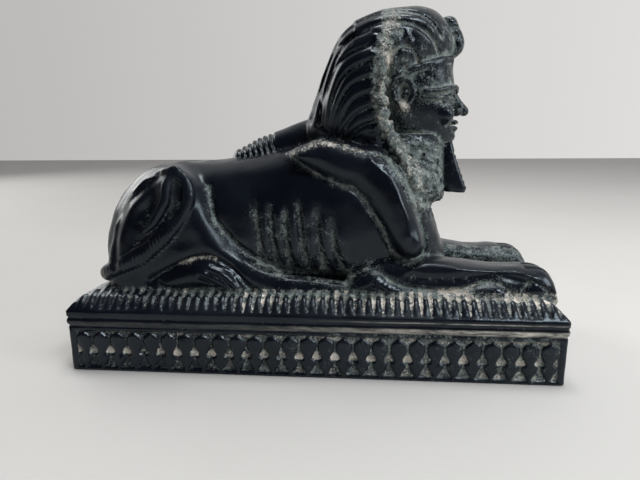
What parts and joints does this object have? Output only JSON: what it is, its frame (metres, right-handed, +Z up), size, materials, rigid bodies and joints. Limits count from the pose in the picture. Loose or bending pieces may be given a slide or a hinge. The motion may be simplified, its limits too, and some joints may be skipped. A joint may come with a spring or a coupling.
{
  "type": "sphinx statue",
  "caption": "Small black cast sphinx lying on a moulded plinth with a ribbed border and a lotus frieze; a desk or shelf ornament that stands by its own weight.",
  "frame": {"origin": "middle of the plinth's underside", "axes": "+X the way the sphinx faces, along the plinth; +Z up; the tail lies on the -Y side"},
  "size_m": [0.18, 0.07, 0.131],
  "materials": {
    "black_stone_resin": "near-black cast stone-filled resin, waxed to a gloss, with greenish grey dust and pinkish cream residue in the hollows"
  },
  "bodies": {
    "root": {"sphinx_statue": "black_stone_resin"}
  },
  "joints": []
}
